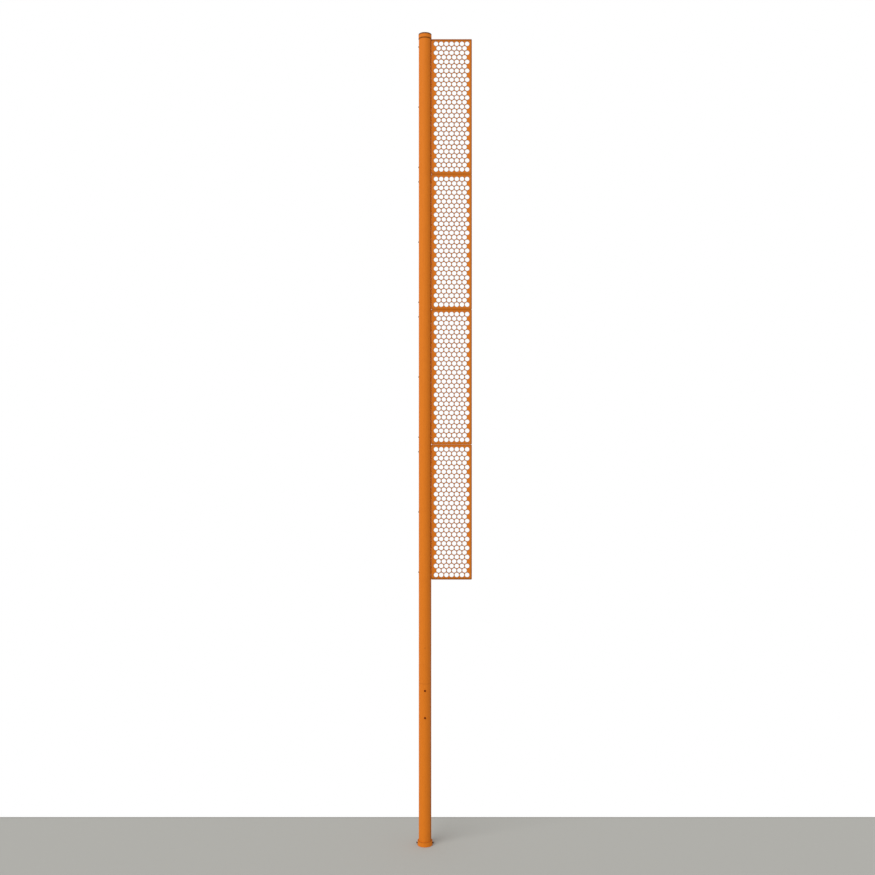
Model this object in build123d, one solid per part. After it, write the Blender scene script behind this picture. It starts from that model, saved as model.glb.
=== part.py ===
from build123d import *

import os
from math import cos, floor, radians, sqrt

# A baseball foul pole: two pipe sections joined by an inner splice, a wing of perforated
# trays bolted to the upper section, and a buried ground sleeve whose tapped collar
# stands out of the ground and clamps the pole with two set bolts.
#
# Millimetres. The origin is on the pole's axis at ground level, +Z is up, the wing
# points along +X, and -Y is the side of the wing that faces the field.

# ---------------------------------------------------------------- pole sections
pole_diameter = 141.3
pole_wall = 6.55
buried_depth = 1219.2
pole_height = 9144.0
upper_section_length = 7315.2
joint_chamfer = 1.2

# ---------------------------------------------------------------- ground sleeve
sleeve_diameter = 168.3
sleeve_wall = 7.11
floor_thickness = 9.5
floor_inset = 6.0
floor_weld_leg = 5.0
drain_diameter = 25.4

# ---------------------------------------------------------------- tapped collar
collar_height = 50.8
collar_clearance = 1.5
collar_bevel = 4.0
collar_top_round = 2.0
weld_crown = 1.2

# ---------------------------------------------------------------- set bolts
set_bolt_diameter = 12.7
set_bolt_height = 23.0
set_bolt_head_width = 19.05
set_bolt_head_height = 7.9
set_bolt_stand_off = 4.5
set_bolt_tip_gap = 0.3
set_bolt_thread_gap = 0.05

# ---------------------------------------------------------------- splice
splice_clearance = 0.6
splice_wall = 6.35
splice_length = 914.4
splice_bolt_drop = 76.2
splice_bolt_spacing = 304.8
splice_bolt_diameter = 12.7
splice_bolt_length = 165.1
splice_head_diameter = 22.2
splice_head_height = 6.6
splice_socket = 7.94
plug_weld_rise = 403.0
plug_weld_diameter = 19.0
plug_weld_crown = 0.3

# ---------------------------------------------------------------- pole cap
cap_wall = 2.6
cap_clearance = 0.3
cap_skirt = 53.0
cap_top_thickness = 3.0
cap_dome_rise = 5.0
cap_shoulder_round = 2.0

# ---------------------------------------------------------------- wing
panel_count = 4
panel_width = 457.2
panel_height = 1524.0
panel_gap = 0.8
sheet_thickness = 3.2
flange_depth = 38.1
bend_radius = 4.8
panel_seat_gap = 0.3
wing_cap_gap = 1.5

# ---------------------------------------------------------------- perforation
hole_diameter = 50.8
hole_pitch = 58.42
least_margin = 48.0

# ---------------------------------------------------------------- panel bolts
panel_bolt_diameter = 9.525
panel_bolt_length = 165.1
panel_bolt_end_distance = 82.55
panel_head_diameter = 16.7
panel_head_height = 5.1
panel_socket = 5.56

# ---------------------------------------------------------------- shared by fasteners
bolt_hole_clearance = 0.8
head_seat_gap = 0.1
tip_chamfer = 1.0
hexagon_corner_share = 0.6  # of the corner that is turned off, axially
button_crown_share = 0.6  # flat crown across, of the head's diameter
button_rim_share = 0.15  # straight rim, of the head's height
socket_depth_share = 0.6  # of the head's height
washer_thickness_share = 0.18  # of the bolt's diameter, as are the next three
washer_width_share = 2.15
nut_width_share = 1.5
nut_height_share = 1.2
nut_hexagon_share = 0.72  # of the nut's height, the rest is its locking collar
nut_collar_share = 0.88  # of the nut's width

# ---------------------------------------------------------------- worked out
pole_radius = pole_diameter / 2
pole_bore_radius = pole_radius - pole_wall
sleeve_radius = sleeve_diameter / 2
sleeve_bore_radius = sleeve_radius - sleeve_wall
collar_bore_radius = pole_radius + collar_clearance
joint_height = pole_height - upper_section_length
splice_radius = pole_bore_radius - splice_clearance
splice_bolt_heights = [
    joint_height - splice_bolt_drop,
    joint_height - splice_bolt_drop - splice_bolt_spacing,
]
cap_bottom = pole_height - cap_skirt
wing_top = cap_bottom - wing_cap_gap
wing_bottom = wing_top - panel_count * panel_height
panel_left = pole_radius + panel_seat_gap
panel_bolt_offsets = [
    panel_bolt_end_distance,
    panel_height / 2,
    panel_height - panel_bolt_end_distance,
]
reach = 2 * (sleeve_diameter + panel_width)


def pipe(outer_radius, inner_radius, bottom, top):
    """A plain pipe about Z between two heights."""
    rings = Circle(outer_radius) - Circle(inner_radius)
    return Pos(0, 0, bottom) * extrude(rings, top - bottom)


def turned(*points):
    """A solid of revolution about Z from (radius, height) points in order."""
    return revolve(make_face(Plane.XZ * Polyline(*points, close=True)), Axis.Z)


def along_x(radius, x0, x1, y, z):
    """A cylinder along X, for a drilled hole."""
    return Pos(x0, y, z) * Rot(0, 90, 0) * extrude(Circle(radius), x1 - x0)


def along_y(radius, y0, y1, z):
    """A cylinder along Y through the pole's axis, for a drilled hole."""
    return Pos(0, y0, z) * Rot(-90, 0, 0) * extrude(Circle(radius), y1 - y0)


def hexagon(width, height):
    """A hexagonal prism with the corners of its far end turned off."""
    corner = width / sqrt(3)
    prism = extrude(RegularPolygon(corner, 6), height)
    drop = (corner - width / 2) * hexagon_corner_share
    lathe = turned((0, 0), (corner, 0), (corner, height - drop), (width / 2, height), (0, height))
    return prism & lathe


def group(pieces):
    """Separate solids that share one node."""
    return Compound([solid for piece in pieces for solid in piece.solids()])


# ---------------------------------------------------------------- fasteners
def button_bolt(diameter, length, head_diameter, head_height, socket):
    """A button-head socket bolt: underside of the head at the origin, tip towards +Z."""
    radius = diameter / 2
    head_radius = head_diameter / 2
    crown_radius = head_radius * button_crown_share
    rim = head_height * button_rim_share
    centre = (head_radius**2 - crown_radius**2 + rim**2 - head_height**2) / (head_height - rim) / 2
    dome_radius = sqrt(head_radius**2 + (rim + centre) ** 2)
    waist = (head_radius + crown_radius) / 2
    outline = Polyline(
        (crown_radius, -head_height),
        (0, -head_height),
        (0, length),
        (radius - tip_chamfer, length),
        (radius, length - tip_chamfer),
        (radius, 0),
        (head_radius, 0),
        (head_radius, -rim),
    )
    middle = (waist, centre - sqrt(dome_radius**2 - waist**2))
    dome = ThreePointArc((head_radius, -rim), middle, (crown_radius, -head_height))
    bolt = revolve(Plane.XZ * make_face(outline + dome), Axis.Z)
    recess = extrude(RegularPolygon(socket / sqrt(3), 6), head_height * socket_depth_share)
    return bolt - Pos(0, 0, -head_height) * recess


def hex_bolt(diameter, length, head_width, head_height):
    """A hexagon-head bolt: underside of the head at the origin, tip towards +Z."""
    radius = diameter / 2
    head = Rot(180, 0, 0) * hexagon(head_width, head_height)
    shank = turned(
        (0, 0),
        (radius, 0),
        (radius, length - tip_chamfer),
        (radius - tip_chamfer, length),
        (0, length),
    )
    return head + shank


def washer(diameter):
    """A flat washer for a bolt, standing on the origin."""
    inner = diameter / 2 + bolt_hole_clearance / 2
    outer = diameter * washer_width_share / 2
    return pipe(outer, inner, 0, diameter * washer_thickness_share)


def lock_nut(diameter):
    """A hexagon nut with a round locking collar on its far end, standing on the origin."""
    width = diameter * nut_width_share
    height = diameter * nut_height_share
    hex_height = height * nut_hexagon_share
    collar_radius = width / 2 * nut_collar_share
    bore = diameter / 2 + head_seat_gap
    collar = turned(
        (0, hex_height),
        (collar_radius, hex_height),
        (collar_radius, height - tip_chamfer),
        (collar_radius - tip_chamfer, height),
        (0, height),
    )
    return hexagon(width, hex_height) + collar - extrude(Circle(bore), height)


# ---------------------------------------------------------------- ground sleeve and collar
def ground_sleeve():
    return pipe(sleeve_radius, sleeve_bore_radius, -buried_depth, 0)


def sleeve_floor():
    """The plate under the sleeve that the pole stands on, with a drain hole."""
    rim = sleeve_radius - floor_inset
    return pipe(rim, drain_diameter / 2, -buried_depth - floor_thickness, -buried_depth)


def floor_weld():
    """The fillet bead between the sleeve's end and the floor plate's rim."""
    rim = sleeve_radius - floor_inset
    return turned(
        (rim, -buried_depth),
        (rim + floor_weld_leg, -buried_depth),
        (rim, -buried_depth - floor_weld_leg),
    )


def set_collar():
    """The thick ring on top of the sleeve, bevelled for its weld and tapped twice."""
    ring = turned(
        (collar_bore_radius, 0),
        (sleeve_radius - collar_bevel, 0),
        (sleeve_radius, collar_bevel),
        (sleeve_radius, collar_height),
        (collar_bore_radius, collar_height),
    )
    ring = fillet(ring.edges().group_by(Axis.Z)[-1], collar_top_round)
    return ring - along_x(set_bolt_diameter / 2, -reach, reach, 0, set_bolt_height)


def collar_weld():
    """The groove bead that joins collar and sleeve, with its crown outside them."""
    legs = Polyline(
        (sleeve_radius, collar_bevel),
        (sleeve_radius - collar_bevel, 0),
        (sleeve_radius, 0),
    )
    crown = ThreePointArc(
        (sleeve_radius, 0),
        (sleeve_radius + weld_crown, collar_bevel / 2),
        (sleeve_radius, collar_bevel),
    )
    return revolve(Plane.XZ * make_face(legs + crown), Axis.Z)


def set_bolt(side):
    """A set bolt in the collar; side is -1 for the left one and 1 for the right one."""
    under_head = sleeve_radius + set_bolt_stand_off
    length = under_head - pole_radius - set_bolt_tip_gap
    shank = set_bolt_diameter - 2 * set_bolt_thread_gap
    bolt = hex_bolt(shank, length, set_bolt_head_width, set_bolt_head_height)
    return Pos(side * under_head, 0, set_bolt_height) * Rot(0, -90 * side, 0) * bolt


# ---------------------------------------------------------------- pole
def pole_section(bottom, top):
    """A length of pole pipe whose outer ends are chamfered."""
    inner, outer = pole_bore_radius, pole_radius
    return turned(
        (inner, bottom),
        (outer - joint_chamfer, bottom),
        (outer, bottom + joint_chamfer),
        (outer, top - joint_chamfer),
        (outer - joint_chamfer, top),
        (inner, top),
    )


def splice_holes():
    """The drillings along Y for the bolts through the lower section and the splice."""
    radius = (splice_bolt_diameter + bolt_hole_clearance) / 2
    return [along_y(radius, -reach, reach, height) for height in splice_bolt_heights]


def plug_weld_blanks():
    """Round plugs along Y, through both walls of the upper section."""
    height = joint_height + plug_weld_rise
    return along_y(plug_weld_diameter / 2, -pole_diameter, pole_diameter, height)


def lower_pole():
    return pole_section(-buried_depth, joint_height) - splice_holes()


def upper_pole():
    pole = pole_section(joint_height, pole_height) - plug_weld_blanks()
    radius = (panel_bolt_diameter + bolt_hole_clearance) / 2
    drillings = [
        along_x(radius, -reach, reach, 0, bottom + offset)
        for bottom in panel_bottoms
        for offset in panel_bolt_offsets
    ]
    return pole - drillings


def splice_sleeve():
    """The inner tube that aligns the two sections, half of it in each."""
    half = splice_length / 2
    bore = splice_radius - splice_wall
    tube = pipe(splice_radius, bore, joint_height - half, joint_height + half)
    return tube - splice_holes()


def plug_welds():
    """Welds that fill the upper section's two slots down to the splice, dressed nearly flush."""
    height = joint_height + plug_weld_rise
    span = plug_weld_diameter
    shell = pipe(pole_radius + plug_weld_crown, splice_radius, height - span, height + span)
    return plug_weld_blanks() & shell


def splice_bolts():
    bolt = button_bolt(
        splice_bolt_diameter,
        splice_bolt_length,
        splice_head_diameter,
        splice_head_height,
        splice_socket,
    )
    seat = -pole_radius - head_seat_gap
    return group(Pos(0, seat, z) * Rot(-90, 0, 0) * bolt for z in splice_bolt_heights)


def splice_washers():
    seat = pole_radius + head_seat_gap
    ring = washer(splice_bolt_diameter)
    return group(Pos(0, seat, z) * Rot(-90, 0, 0) * ring for z in splice_bolt_heights)


def splice_nuts():
    seat = pole_radius + head_seat_gap + splice_bolt_diameter * washer_thickness_share
    nut = lock_nut(splice_bolt_diameter)
    return group(Pos(0, seat, z) * Rot(-90, 0, 0) * nut for z in splice_bolt_heights)


def pole_cap():
    """A slip-over cap: straight skirt, rounded shoulder and a shallow domed top."""
    inner = pole_radius + cap_clearance
    outer = inner + cap_wall
    rise = cap_top_thickness + cap_dome_rise
    dome_radius = (outer**2 + cap_dome_rise**2) / (2 * cap_dome_rise)
    blank = Pos(0, 0, cap_bottom) * extrude(Circle(outer), cap_skirt + rise)
    blank &= Pos(0, 0, pole_height + rise - dome_radius) * Sphere(dome_radius)
    shoulder = blank.edges().filter_by(lambda edge: edge.is_closed).sort_by(Axis.Z)[-1]
    blank = fillet(shoulder, cap_shoulder_round)
    return blank - Pos(0, 0, cap_bottom) * extrude(Circle(inner), cap_skirt)


# ---------------------------------------------------------------- wing panels
def perforation():
    """Round holes on 60 degree centres, rows of n and n-1 holes in turn, centred on the tray."""
    row_pitch = hole_pitch * cos(radians(30))
    columns = floor((panel_width - 2 * least_margin) / hole_pitch) + 1
    gaps = floor((panel_height - panel_gap - 2 * least_margin) / row_pitch)
    rows = gaps - gaps % 2 + 1
    spots = []
    for row in range(rows):
        count = columns - row % 2
        y = (row - (rows - 1) / 2) * row_pitch
        spots += [Pos((i - (count - 1) / 2) * hole_pitch, y) for i in range(count)]
    return [spot * Circle(hole_diameter / 2) for spot in spots]


def bent_flange(length):
    """One bend and its flange along Y, with the bend's outside against the plane x = 0."""
    inner_bend = bend_radius - sheet_thickness
    turn = cos(radians(45))
    straight = Polyline(
        (0, -bend_radius),
        (0, -flange_depth),
        (sheet_thickness, -flange_depth),
        (sheet_thickness, -bend_radius),
    )
    inside = ThreePointArc(
        (sheet_thickness, -bend_radius),
        (bend_radius - inner_bend * turn, -bend_radius + inner_bend * turn),
        (bend_radius, -sheet_thickness),
    )
    web = Line((bend_radius, -sheet_thickness), (bend_radius, 0))
    outside = ThreePointArc(
        (bend_radius, 0),
        (bend_radius * (1 - turn), -bend_radius * (1 - turn)),
        (0, -bend_radius),
    )
    profile = make_face(straight + inside + web + outside)
    return Pos(0, length / 2, 0) * extrude(Plane.XZ * profile, length)


def wing_panel():
    """A perforated tray: its face lies in local XY, and its flanges point to -Z."""
    height = panel_height - panel_gap
    flat_width = panel_width - 2 * bend_radius
    flat_height = height - 2 * bend_radius
    face = Rectangle(flat_width, flat_height) - perforation()
    tray = extrude(face, -sheet_thickness)
    side = bent_flange(flat_height)
    end = bent_flange(flat_width)
    tray += Pos(-panel_width / 2, 0, 0) * side
    tray += Rot(0, 0, 180) * Pos(-panel_width / 2, 0, 0) * side
    tray += Rot(0, 0, 90) * Pos(-height / 2, 0, 0) * end
    tray += Rot(0, 0, -90) * Pos(-height / 2, 0, 0) * end
    radius = (panel_bolt_diameter + bolt_hole_clearance) / 2
    drillings = [
        along_x(radius, -panel_width, 0, offset - panel_height / 2, -flange_depth / 2)
        for offset in panel_bolt_offsets
    ]
    return tray - drillings


def on_pole(tray, bottom):
    """The tray stood upright beside the pole, its flange centred on the pole's axis."""
    middle = Pos(panel_left + panel_width / 2, -flange_depth / 2, bottom + panel_height / 2)
    return middle * Rot(90, 0, 0) * tray


def panel_row(piece, x, bottom):
    """The piece once at each bolt height of the panel, turned to point along +X."""
    heights = [bottom + offset for offset in panel_bolt_offsets]
    return group(Pos(x, 0, z) * Rot(0, 90, 0) * piece for z in heights)


# ---------------------------------------------------------------- write the nodes
panel_bottoms = [wing_bottom + i * panel_height for i in range(panel_count)]
nodes = {
    "ground_sleeve": ground_sleeve(),
    "sleeve_floor": sleeve_floor(),
    "floor_weld": floor_weld(),
    "set_collar": set_collar(),
    "collar_weld": collar_weld(),
    "set_bolt_left": set_bolt(-1),
    "set_bolt_right": set_bolt(1),
    "lower_pole": lower_pole(),
    "upper_pole": upper_pole(),
    "splice_sleeve": splice_sleeve(),
    "plug_welds": plug_welds(),
    "splice_bolts": splice_bolts(),
    "splice_washers": splice_washers(),
    "splice_nuts": splice_nuts(),
    "pole_cap": pole_cap(),
}
tray = wing_panel()
bolt = button_bolt(
    panel_bolt_diameter,
    panel_bolt_length,
    panel_head_diameter,
    panel_head_height,
    panel_socket,
)
head_seat = -pole_radius - head_seat_gap
washer_seat = panel_left + sheet_thickness
nut_seat = washer_seat + panel_bolt_diameter * washer_thickness_share
for number, bottom in enumerate(panel_bottoms, start=1):
    nodes[f"wing_panel_{number}"] = on_pole(tray, bottom)
    nodes[f"panel_bolts_{number}"] = panel_row(bolt, head_seat, bottom)
    nodes[f"panel_washers_{number}"] = panel_row(washer(panel_bolt_diameter), washer_seat, bottom)
    nodes[f"panel_nuts_{number}"] = panel_row(lock_nut(panel_bolt_diameter), nut_seat, bottom)

os.makedirs("parts", exist_ok=True)
for name, shape in nodes.items():
    export_step(Compound(shape.solids()), f"parts/{name}.step")
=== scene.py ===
from contextlib import contextmanager
from math import cos, hypot, pi, radians, sin, sqrt

import bmesh
import bpy
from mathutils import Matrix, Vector


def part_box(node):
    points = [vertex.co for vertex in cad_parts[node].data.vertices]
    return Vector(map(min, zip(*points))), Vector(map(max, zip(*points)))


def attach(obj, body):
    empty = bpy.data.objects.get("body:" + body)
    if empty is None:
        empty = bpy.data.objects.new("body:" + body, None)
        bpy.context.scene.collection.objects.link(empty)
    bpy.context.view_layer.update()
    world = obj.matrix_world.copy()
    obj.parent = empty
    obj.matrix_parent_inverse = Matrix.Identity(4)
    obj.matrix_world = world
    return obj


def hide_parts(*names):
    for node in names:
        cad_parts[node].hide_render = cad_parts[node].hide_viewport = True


# A baseball foul pole, dressed for looks. Metres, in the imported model's own frame: the
# origin is on the pole's axis at ground level, +Z is up and the wing points along +X.

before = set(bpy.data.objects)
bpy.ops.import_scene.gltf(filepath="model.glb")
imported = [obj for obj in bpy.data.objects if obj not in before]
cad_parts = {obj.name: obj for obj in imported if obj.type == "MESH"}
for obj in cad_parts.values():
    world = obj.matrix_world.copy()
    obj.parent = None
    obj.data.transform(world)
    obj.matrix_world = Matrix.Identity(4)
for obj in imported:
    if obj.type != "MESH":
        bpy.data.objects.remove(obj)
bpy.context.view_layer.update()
MM = 0.001
INCH = 25.4 * MM
X, Y, Z = range(3)


def span(node, axis):
    """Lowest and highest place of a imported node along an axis."""
    low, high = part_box(node)
    return low[axis], high[axis]


def bolt_heights(tray):
    """Heights of the lowest, middle and highest bolt of one of the wing's trays."""
    low, high = span(f"panel_bolts_{tray}", Z)
    low, high = low + TRAY_HEAD_RADIUS, high - TRAY_HEAD_RADIUS
    return [low, (low + high) / 2, high]


# ---------------------------------------------------------------- sizes
POLE_RADIUS = span("upper_pole", Y)[1]
POLE_WALL = 6.55 * MM
PIPE_CHAMFER = 1.2 * MM
JOINT_HEIGHT, POLE_TOP = span("upper_pole", Z)
SPLICE_RADIUS = span("splice_sleeve", X)[1]
SPLICE_WALL = 6.35 * MM
SPLICE_BOTTOM, SPLICE_TOP = span("splice_sleeve", Z)
SLEEVE_RADIUS = span("set_collar", X)[1]
SLEEVE_WALL = 7.11 * MM
SLEEVE_BOTTOM = span("ground_sleeve", Z)[0]
COLLAR_TOP = span("set_collar", Z)[1]
CAP_BOTTOM, CAP_TOP = span("pole_cap", Z)
CAP_RADIUS = span("pole_cap", X)[1]
PLUG_BOTTOM, PLUG_TOP = span("plug_welds", Z)
PLUG_HEIGHT = (PLUG_BOTTOM + PLUG_TOP) / 2
PLUG_RADIUS = (PLUG_TOP - PLUG_BOTTOM) / 2

TRAYS = [1, 2, 3, 4]
TRAY_LEFT, TRAY_RIGHT = span("wing_panel_1", X)
TRAY_FRONT, TRAY_BACK = span("wing_panel_1", Y)
TRAY_BOTTOM, TRAY_TOP = span("wing_panel_1", Z)
TRAY_RISE = span("wing_panel_2", Z)[0] - TRAY_BOTTOM
TRAY_MIDDLE = (TRAY_LEFT + TRAY_RIGHT) / 2
TRAY_CENTRE = (TRAY_BOTTOM + TRAY_TOP) / 2
WING_TOP = TRAY_TOP + (len(TRAYS) - 1) * TRAY_RISE
SHEET = 3.2 * MM
BEND = 4.8 * MM
HOLE_RADIUS = INCH
HOLE_PITCH = 2.3 * INCH
ROW_PITCH = HOLE_PITCH * cos(radians(30))
WIDE_ROW = 7
ROWS = 29

TRAY_BOLT = 0.375 * INCH
TRAY_THREAD = INCH / 16
TRAY_SOCKET = 5.56 * MM
TRAY_HEAD_RADIUS = span("panel_bolts_1", Y)[1]
SPLICE_BOLT = 0.5 * INCH
SPLICE_THREAD = INCH / 13
SPLICE_SOCKET = 7.94 * MM
SPLICE_HEAD_RADIUS = span("splice_bolts", X)[1]
SCREW_THREADS = 20
SET_BOLT = 0.5 * INCH
SET_THREAD = INCH / 13
SET_THREAD_GAP = 0.05 * MM
SET_HEAD_HEIGHT = 7.9 * MM
SET_BOLT_HEIGHT = sum(span("set_bolt_right", Z)) / 2
BOLT_HOLE_CLEARANCE = 0.8 * MM
TRAY_BOLT_HOLE = (TRAY_BOLT + BOLT_HOLE_CLEARANCE) / 2
SPLICE_BOLT_HOLE = (SPLICE_BOLT + BOLT_HOLE_CLEARANCE) / 2
SEAT_GAP = 0.1 * MM
THREAD_LAP = 0.2 * MM
HEAD_LAP = 0.5 * MM
THREAD_RUN_UP = 1.37  # pitches below its rod at which a thread starts, before it is cut off
THREAD_DEPTH_SHARE = 0.6  # of the thread's pitch
SOCKET_DEPTH_SHARE = 0.6  # of the head's height
HEAD_ROUND_SHARE = 0.8  # of the head's height
HEXAGON_FACET_SHARE = 0.98  # of what a hexagon's corners stand out past its flats
HEXAGON_DROP_SHARE = 0.55  # of the same
NUT_WIDTH_SHARE = 1.5  # of the bolt's diameter
NUT_HEXAGON_SHARE = 0.72  # of the nut's height, the rest is its locking collar
NUT_COLLAR_SHARE = 0.88  # of the nut's width
NUT_EDGE = 1.0 * MM
WASHER_EDGE = 0.2 * MM

FLOOR_WELD_REACH = 2.4 * MM
FLOOR_WELD_RIPPLES = 160
COLLAR_WELD_REACH = 1.6 * MM
COLLAR_WELD_RIPPLES = 200
WELD_SWELL_SHARE = 0.12  # of the bead's reach

# Sides and steps of the round forms.
ROUND = 96
LATHE_ROUND = 72
SMALL_ROUND = 40
HOLE_ROUND = 24
THREAD_ROUND = 16
WELD_ROUND = 10
HEXAGON_SIDES = 6
BEND_STEPS = 5
RIPPLE_STEPS = 3

# How far the drills go, and how far from a drilling the pipes are cut across.
THROUGH_POLE = 0.4
THROUGH_FLANGE = 50 * MM
DRILL_MARGIN = 20 * MM
TRAY_DRILL_MARGIN = 15 * MM

# How near counts as the same, and how steep as level or sharp.
SAME_PLACE = 0.01 * MM
SAME_LENGTH = 0.05 * MM
THREAD_SEAM = 0.001 * MM
LEVEL = 0.99  # the least upward share of a level face's normal
SHARP = radians(60)


# ---------------------------------------------------------------- camera, light and floor
CAMERA_PLACE = (0.1408, -11.3008, 4.5965)
CAMERA_LENS = 41.167
CAMERA_SENSOR = 36
WORLD_LIGHT = 0.64
KEY_LIGHT = 1.80
KEY_SPREAD = radians(45)
KEY_LEFT = radians(39)
KEY_UP = radians(40)
FLOOR_LEFT, FLOOR_RIGHT = -9.0, 9.0
FLOOR_FRONT, FLOOR_BACK = -13.0, 0.818
# A line of painted shade, a strip a little darker, runs along the floor's far edge; its grey is
# also the dark end of the floor's mottle.
FLOOR_EDGE_SHADE = 42 * MM
FLOOR_EDGE_SHADE_SHARE = 0.8  # of the edge's painted shade line, dark all over
FLOOR_MOTTLE = 0.03
WHITE = (1, 1, 1, 1)
FLOOR_GREY = (0.425, 0.420, 0.393, 1)
FLOOR_EDGE_SHADE_GREY = (0.36, 0.356, 0.333, 1)


def set_camera():
    """A level camera in front of the pole."""
    lens = bpy.data.cameras.new("camera")
    lens.lens = CAMERA_LENS
    lens.sensor_width = CAMERA_SENSOR
    camera = bpy.data.objects.new("camera", lens)
    camera.location = CAMERA_PLACE
    camera.rotation_euler = (radians(90), 0, 0)
    bpy.context.scene.collection.objects.link(camera)
    bpy.context.scene.camera = camera


def set_world():
    """Even pale light on everything, and plain white wherever the background is seen."""
    world = bpy.data.worlds.new("studio")
    world.use_nodes = True
    sheet = NodeSheet(world.node_tree)
    world.node_tree.nodes.clear()
    camera = sheet.node("ShaderNodeLightPath", output="Is Camera Ray")
    mirrored = camera.sibling("Is Glossy Ray")
    through = camera.sibling("Is Transmission Ray")
    seen = camera.either(mirrored).either(through)
    light = sheet.node("ShaderNodeBackground", None, {"Color": WHITE, "Strength": WORLD_LIGHT})
    white = sheet.node("ShaderNodeBackground", None, {"Color": WHITE, "Strength": 1.0})
    both = sheet.node("ShaderNodeMixShader", None, {0: seen, 1: light, 2: white})
    sheet.node("ShaderNodeOutputWorld", None, {"Surface": both}, output=None)
    bpy.context.scene.world = world
    bpy.context.scene.view_settings.view_transform = "Standard"


def set_key_light():
    """One wide soft lamp from the front left, above."""
    lamp = bpy.data.lights.new("key", "SUN")
    lamp.energy = KEY_LIGHT
    lamp.angle = KEY_SPREAD
    level = cos(KEY_UP)
    towards = Vector((-sin(KEY_LEFT) * level, -cos(KEY_LEFT) * level, sin(KEY_UP)))
    key = bpy.data.objects.new("key", lamp)
    key.rotation_euler = towards.to_track_quat("Z", "Y").to_euler()
    bpy.context.scene.collection.objects.link(key)


def lay_floor():
    """A plain slab of floor whose far edge lies just behind the pole, with a line of painted shade,
    a little darker, along it.
    """
    floor = primitive("floor", bpy.ops.mesh.primitive_plane_add, size=1)
    floor.scale = (FLOOR_RIGHT - FLOOR_LEFT, FLOOR_BACK - FLOOR_FRONT, 1)
    floor.location = ((FLOOR_LEFT + FLOOR_RIGHT) / 2, (FLOOR_FRONT + FLOOR_BACK) / 2, 0)
    settle(floor)
    grey = Finish("floor_grey", Roughness=0.9, Specular_IOR_Level=0.1)
    colour = grey.tint(FLOOR_MOTTLE * grey.noise(3.0, detail=4.0), FLOOR_GREY, FLOOR_EDGE_SHADE_GREY)
    # Painted shade: the floor darkens in a strip along its far edge.
    edge = grey.y.nearing(FLOOR_BACK, FLOOR_EDGE_SHADE, FLOOR_EDGE_SHADE_SHARE * FLOOR_EDGE_SHADE)
    grey.colour(grey.tint(edge, colour, FLOOR_EDGE_SHADE_GREY))
    floor.data.materials.append(grey.material)


# ---------------------------------------------------------------- material writing
class Signal:
    """A value that varies over a surface. Python arithmetic on it adds Math nodes."""

    def __init__(self, sheet, socket):
        self.sheet = sheet
        self.socket = socket

    def sibling(self, output):
        """Another output of the same node."""
        return Signal(self.sheet, self.socket.node.outputs[output])

    def maths(self, operation, *others):
        """The operation with this signal first and numbers or signals after it."""
        terms = dict(enumerate((self, *others)))
        return self.sheet.node("ShaderNodeMath", {"operation": operation}, terms)

    def after(self, operation, first):
        """The operation with a plain number before this signal."""
        return self.sheet.node("ShaderNodeMath", {"operation": operation}, {0: first, 1: self})

    def __add__(self, other):
        return self.maths("ADD", other)

    def __sub__(self, other):
        return self.maths("SUBTRACT", other)

    def __mul__(self, other):
        return self.maths("MULTIPLY", other)

    def __truediv__(self, other):
        return self.maths("DIVIDE", other)

    def __radd__(self, other):
        return self.after("ADD", other)

    def __rsub__(self, other):
        return self.after("SUBTRACT", other)

    def __rmul__(self, other):
        return self.after("MULTIPLY", other)

    def __abs__(self):
        return self.maths("ABSOLUTE")

    def either(self, other):
        """The greater of two signals."""
        return self.maths("MAXIMUM", other)

    def ramp(self, none, full):
        """0 where this is at none, 1 where it is at full, eased between them."""
        settings = {"interpolation_type": "SMOOTHSTEP"}
        sockets = {"Value": self, "From Min": none, "From Max": full}
        return self.sheet.node("ShaderNodeMapRange", settings, sockets)

    def nearing(self, limit, start, full):
        """0 where this is a start distance short of a limit, 1 at a full distance short of it."""
        return self.ramp(limit - start, limit - full)


class NodeSheet:
    """Writes nodes into one tree."""

    def __init__(self, tree):
        self.tree = tree

    def node(self, kind, settings=None, sockets=None, output=0):
        """Adds a node: its settings first, then the values or links of its sockets."""
        made = self.tree.nodes.new(kind)
        for name, value in (settings or {}).items():
            setattr(made, name, value)
        for name, value in (sockets or {}).items():
            if isinstance(value, Signal):
                self.tree.links.new(value.socket, made.inputs[name])
            else:
                made.inputs[name].default_value = value
        return None if output is None else Signal(self, made.outputs[output])


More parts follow.
